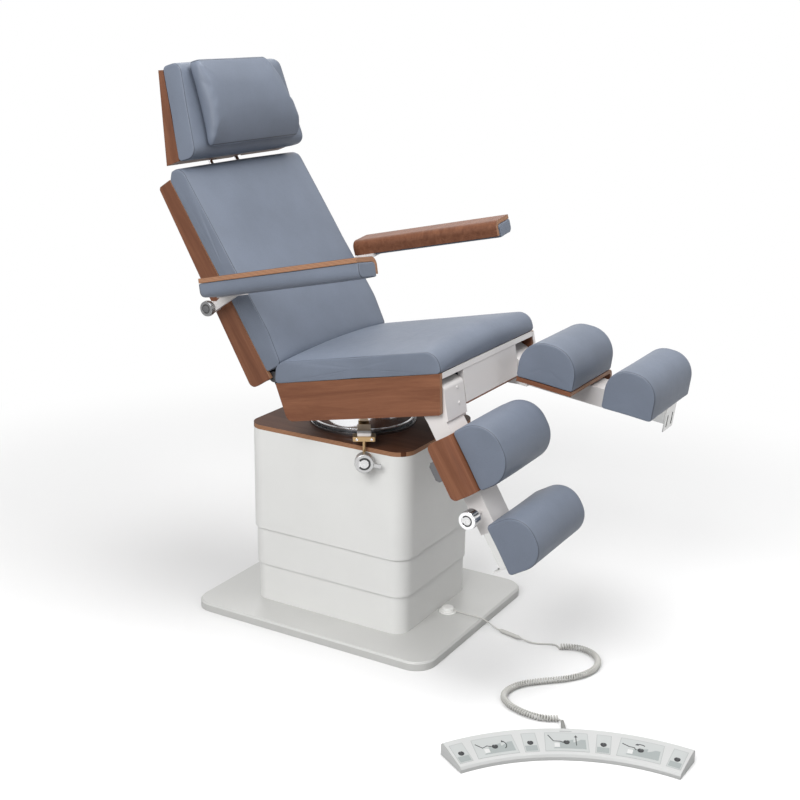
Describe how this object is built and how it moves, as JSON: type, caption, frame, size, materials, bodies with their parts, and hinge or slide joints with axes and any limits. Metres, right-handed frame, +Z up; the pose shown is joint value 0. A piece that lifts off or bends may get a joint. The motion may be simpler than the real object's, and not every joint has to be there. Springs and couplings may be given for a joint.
{
  "type": "podiatry chair",
  "caption": "Podiatry treatment chair on a telescopic column: reclining back, height-adjustable headrest, swing-up armrests, split leg rests with calf and heel pads, and a corded foot control.",
  "frame": {"origin": "centre of the base plate's underside, on the floor", "axes": "+Z up, -Y towards the patient's feet, -X towards the patient's right"},
  "size_m": [1.0453, 1.5857, 1.4871],
  "materials": {
    "powder_light": "fine satin powder coat",
    "steel_white": "satin white enamel",
    "steel_dark": "dark gray paint",
    "steel_bare": "brushed stainless steel",
    "chrome": "polished chrome plate",
    "walnut_ply": "oiled walnut veneer on plywood with pale ply edges",
    "upholstery": "blue-gray grained artificial leather over foam",
    "lock_brass": "dull brass tone",
    "ring_dark": "dark plastic",
    "control_plastic": "satin light gray ABS",
    "button_rubber": "matt black rubber",
    "cord_gray": "gray PVC",
    "gland_white": "white polyamide",
    "inlet_black": "black plastic"
  },
  "bodies": {
    "pedestal": {"base_plate": "powder_light", "shroud_lower": "powder_light", "column_outer": "steel_dark", "power_inlet": "inlet_black", "cable_gland": "gland_white", "gland_lead": "cord_gray", "inline_connector": "cord_gray", "coil_lead": "cord_gray", "curly_cord": "cord_gray", "strain_relief": "cord_gray", "foot_control_housing": "control_plastic"},
    "lift_middle": {"shroud_middle": "powder_light", "column_middle": "steel_dark"},
    "lift_top": {"shroud_upper": "powder_light", "column_inner": "steel_dark", "pedestal_top_panel": "walnut_ply", "turntable_ring": "ring_dark", "swivel_lock_block": "lock_brass"},
    "lock_knob": {"swivel_lock_knob": "chrome"},
    "turntable": {"turntable_drum": "chrome"},
    "actuator_tube": {"tilt_actuator_tube": "steel_bare"},
    "actuator_rod": {"tilt_actuator_rod": "chrome"},
    "seat": {"seat_frame": "steel_dark", "seat_aprons": "walnut_ply", "seat_front_panel": "steel_white", "seat_cushion": "upholstery"},
    "backrest": {"back_frame": "steel_dark", "back_shell": "walnut_ply", "back_cushion": "upholstery"},
    "head_rods": {"headrest_rods": "chrome"},
    "headrest": {"headrest_panel": "walnut_ply", "headrest_cushion": "upholstery", "head_pillow": "upholstery"},
    "armrest_right": {"armrest_bracket_right": "steel_white", "armrest_board_right": "walnut_ply", "armrest_pad_right": "upholstery"},
    "armrest_knob_right": {"armrest_knob_right": "chrome"},
    "leg_right": {"leg_arm_right": "steel_white", "calf_saddle_right": "walnut_ply", "calf_pad_right": "upholstery"},
    "leg_extension_right": {"leg_slide_right": "steel_bare", "heel_pad_right": "upholstery"},
    "leg_knob_right": {"leg_knob_right": "chrome"},
    "armrest_left": {"armrest_bracket_left": "steel_white", "armrest_board_left": "walnut_ply", "armrest_pad_left": "upholstery"},
    "armrest_knob_left": {"armrest_knob_left": "chrome"},
    "leg_left": {"leg_arm_left": "steel_white", "calf_saddle_left": "walnut_ply", "calf_pad_left": "upholstery"},
    "leg_extension_left": {"leg_slide_left": "steel_bare", "heel_pad_left": "upholstery"},
    "leg_knob_left": {"leg_knob_left": "chrome"},
    "button_1": {"button_1": "button_rubber"},
    "button_2": {"button_2": "button_rubber"},
    "button_3": {"button_3": "button_rubber"},
    "button_4": {"button_4": "button_rubber"},
    "button_5": {"button_5": "button_rubber"},
    "button_6": {"button_6": "button_rubber"},
    "button_7": {"button_7": "button_rubber"}
  },
  "joints": [
    {"name": "lift_slide", "type": "slide", "parent": "pedestal", "child": "lift_top", "axis": [0, 0, 1], "range_m": [-0.21, 0.19]},
    {"name": "lift_middle_slide", "type": "slide", "parent": "pedestal", "child": "lift_middle", "axis": [0, 0, 1], "range_m": [-0.106, 0.096]},
    {"name": "swivel", "type": "hinge", "parent": "lift_top", "child": "turntable", "pos_m": [0, 0, 0.553], "axis": [0, 0, 1], "range_deg": [-90, 90]},
    {"name": "lock_knob_turn", "type": "hinge", "parent": "lift_top", "child": "lock_knob", "pos_m": [-0.23141, -0.14857, 0.511], "axis": [-0.8415, -0.5402, 0], "range_deg": [-40, 40]},
    {"name": "seat_tilt", "type": "hinge", "parent": "turntable", "child": "seat", "pos_m": [0, 0.07, 0.648], "axis": [-1, 0, 0], "range_deg": [-11.7, 13]},
    {"name": "tilt_tube_hinge", "type": "hinge", "parent": "turntable", "child": "actuator_tube", "pos_m": [0, -0.06, 0.62], "axis": [-1, 0, 0], "range_deg": [-18, 20]},
    {"name": "tilt_rod_hinge", "type": "hinge", "parent": "seat", "child": "actuator_rod", "pos_m": [0, -0.33, 0.715], "axis": [-1, 0, 0], "range_deg": [-6, 7]},
    {"name": "recline", "type": "hinge", "parent": "seat", "child": "backrest", "pos_m": [0, 0.122, 0.7], "axis": [-1, 0, 0], "range_deg": [-2, 60]},
    {"name": "headrest_slide", "type": "slide", "parent": "backrest", "child": "head_rods", "axis": [0, 0.5385, 0.8426], "range_m": [0, 0.1]},
    {"name": "headrest_tilt", "type": "hinge", "parent": "head_rods", "child": "headrest", "pos_m": [0, 0.472, 1.235], "axis": [-1, 0, 0], "range_deg": [-6, 20]},
    {"name": "armrest_raise_right", "type": "hinge", "parent": "backrest", "child": "armrest_right", "pos_m": [0, 0.284, 0.874], "axis": [-1, 0, 0], "range_deg": [-12, 100]},
    {"name": "armrest_knob_turn_right", "type": "hinge", "parent": "armrest_right", "child": "armrest_knob_right", "pos_m": [-0.305, 0.284, 0.874], "axis": [-1, 0, 0], "range_deg": [-180, 180]},
    {"name": "leg_raise_right", "type": "hinge", "parent": "seat", "child": "leg_right", "pos_m": [0, -0.36, 0.718], "axis": [-1, 0, 0], "range_deg": [-10, 71]},
    {"name": "leg_extension_slide_right", "type": "slide", "parent": "leg_right", "child": "leg_extension_right", "axis": [0, -0.5105, -0.8599], "range_m": [-0.075, 0.1]},
    {"name": "leg_knob_turn_right", "type": "hinge", "parent": "leg_right", "child": "leg_knob_right", "pos_m": [-0.3, -0.49169, 0.45311], "axis": [-1, 0, 0], "range_deg": [-180, 180]},
    {"name": "armrest_raise_left", "type": "hinge", "parent": "backrest", "child": "armrest_left", "pos_m": [0, 0.284, 0.874], "axis": [-1, 0, 0], "range_deg": [-12, 100]},
    {"name": "armrest_knob_turn_left", "type": "hinge", "parent": "armrest_left", "child": "armrest_knob_left", "pos_m": [0.305, 0.284, 0.874], "axis": [1, 0, 0], "range_deg": [-180, 180]},
    {"name": "leg_raise_left", "type": "hinge", "parent": "seat", "child": "leg_left", "pos_m": [0, -0.36, 0.718], "axis": [-1, 0, 0], "range_deg": [-62, 18.9]},
    {"name": "leg_extension_slide_left", "type": "slide", "parent": "leg_left", "child": "leg_extension_left", "axis": [0, -0.9921, -0.1253], "range_m": [-0.075, 0.1]},
    {"name": "leg_knob_turn_left", "type": "hinge", "parent": "leg_left", "child": "leg_knob_left", "pos_m": [0.3, -0.64992, 0.6592], "axis": [1, 0, 0], "range_deg": [-180, 180]},
    {"name": "button_press_1", "type": "slide", "parent": "pedestal", "child": "button_1", "axis": [0, 0, -1], "range_m": [0, 0.0022], "stiffness_N_per_m": 600, "springref_m": -0.0005},
    {"name": "button_press_2", "type": "slide", "parent": "pedestal", "child": "button_2", "axis": [0, 0, -1], "range_m": [0, 0.0022], "stiffness_N_per_m": 600, "springref_m": -0.0005},
    {"name": "button_press_3", "type": "slide", "parent": "pedestal", "child": "button_3", "axis": [0, 0, -1], "range_m": [0, 0.0022], "stiffness_N_per_m": 600, "springref_m": -0.0005},
    {"name": "button_press_4", "type": "slide", "parent": "pedestal", "child": "button_4", "axis": [0, 0, -1], "range_m": [0, 0.0022], "stiffness_N_per_m": 600, "springref_m": -0.0005},
    {"name": "button_press_5", "type": "slide", "parent": "pedestal", "child": "button_5", "axis": [0, 0, -1], "range_m": [0, 0.0022], "stiffness_N_per_m": 600, "springref_m": -0.0005},
    {"name": "button_press_6", "type": "slide", "parent": "pedestal", "child": "button_6", "axis": [0, 0, -1], "range_m": [0, 0.0022], "stiffness_N_per_m": 600, "springref_m": -0.0005},
    {"name": "button_press_7", "type": "slide", "parent": "pedestal", "child": "button_7", "axis": [0, 0, -1], "range_m": [0, 0.0022], "stiffness_N_per_m": 600, "springref_m": -0.0005}
  ],
  "couplings": [
    {"joint": "lift_middle_slide", "follows": "lift_slide", "ratio": 0.5},
    {"joint": "tilt_tube_hinge", "follows": "seat_tilt", "ratio": 1.3855},
    {"joint": "tilt_rod_hinge", "follows": "seat_tilt", "ratio": 0.3855}
  ]
}
